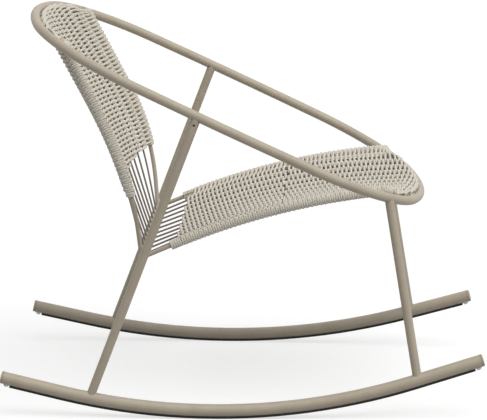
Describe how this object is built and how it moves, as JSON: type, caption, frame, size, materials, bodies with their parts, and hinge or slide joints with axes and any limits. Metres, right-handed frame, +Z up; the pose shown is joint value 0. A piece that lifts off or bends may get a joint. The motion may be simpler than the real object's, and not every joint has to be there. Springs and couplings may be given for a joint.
{
  "type": "outdoor rocking chair",
  "caption": "Low outdoor rocking lounge chair: sloping tubular hoop on splayed legs and curved rockers, with a back and seat of woven cord on thin rods.",
  "frame": {"origin": "on the floor, midway along, across and at the bottom of the chair's box", "axes": "+X to the chair's front, +Y to the sitter's left, +Z up"},
  "size_m": [0.9685, 0.6678, 0.7849],
  "materials": {
    "frame_coat": "warm taupe powder coat, satin",
    "cord": "pale oatmeal braided outdoor cord, woven tight",
    "tread_rubber": "near-black matt rubber",
    "bumper_plastic": "cloudy translucent white plastic",
    "cap_plastic": "taupe moulded plastic, satin"
  },
  "bodies": {
    "root": {"back_rod_01": "frame_coat", "back_rod_02": "frame_coat", "back_rod_03": "frame_coat", "back_rod_04": "frame_coat", "back_rod_05": "frame_coat", "back_rod_06": "frame_coat", "back_rod_07": "frame_coat", "back_rod_08": "frame_coat", "back_rod_09": "frame_coat", "back_rod_10": "frame_coat", "back_side_rail_left": "frame_coat", "back_side_rail_right": "frame_coat", "back_weave": "cord", "bend_cross_tube": "frame_coat", "bumper_front_left": "bumper_plastic", "bumper_front_right": "bumper_plastic", "bumper_rear_left": "bumper_plastic", "bumper_rear_right": "bumper_plastic", "front_leg_left": "frame_coat", "front_leg_right": "frame_coat", "hoop": "frame_coat", "rear_leg_left": "frame_coat", "rear_leg_right": "frame_coat", "rocker_cap_front_left": "cap_plastic", "rocker_cap_front_right": "cap_plastic", "rocker_cap_rear_left": "cap_plastic", "rocker_cap_rear_right": "cap_plastic", "rocker_left": "frame_coat", "rocker_right": "frame_coat", "seat_cross_bar": "frame_coat", "seat_rod_01": "frame_coat", "seat_rod_02": "frame_coat", "seat_rod_03": "frame_coat", "seat_rod_04": "frame_coat", "seat_rod_05": "frame_coat", "seat_rod_06": "frame_coat", "seat_rod_07": "frame_coat", "seat_rod_08": "frame_coat", "seat_rod_09": "frame_coat", "seat_rod_10": "frame_coat", "seat_side_rail_left": "frame_coat", "seat_side_rail_right": "frame_coat", "seat_weave": "cord", "tread_strip_left": "tread_rubber", "tread_strip_right": "tread_rubber"}
  },
  "joints": []
}
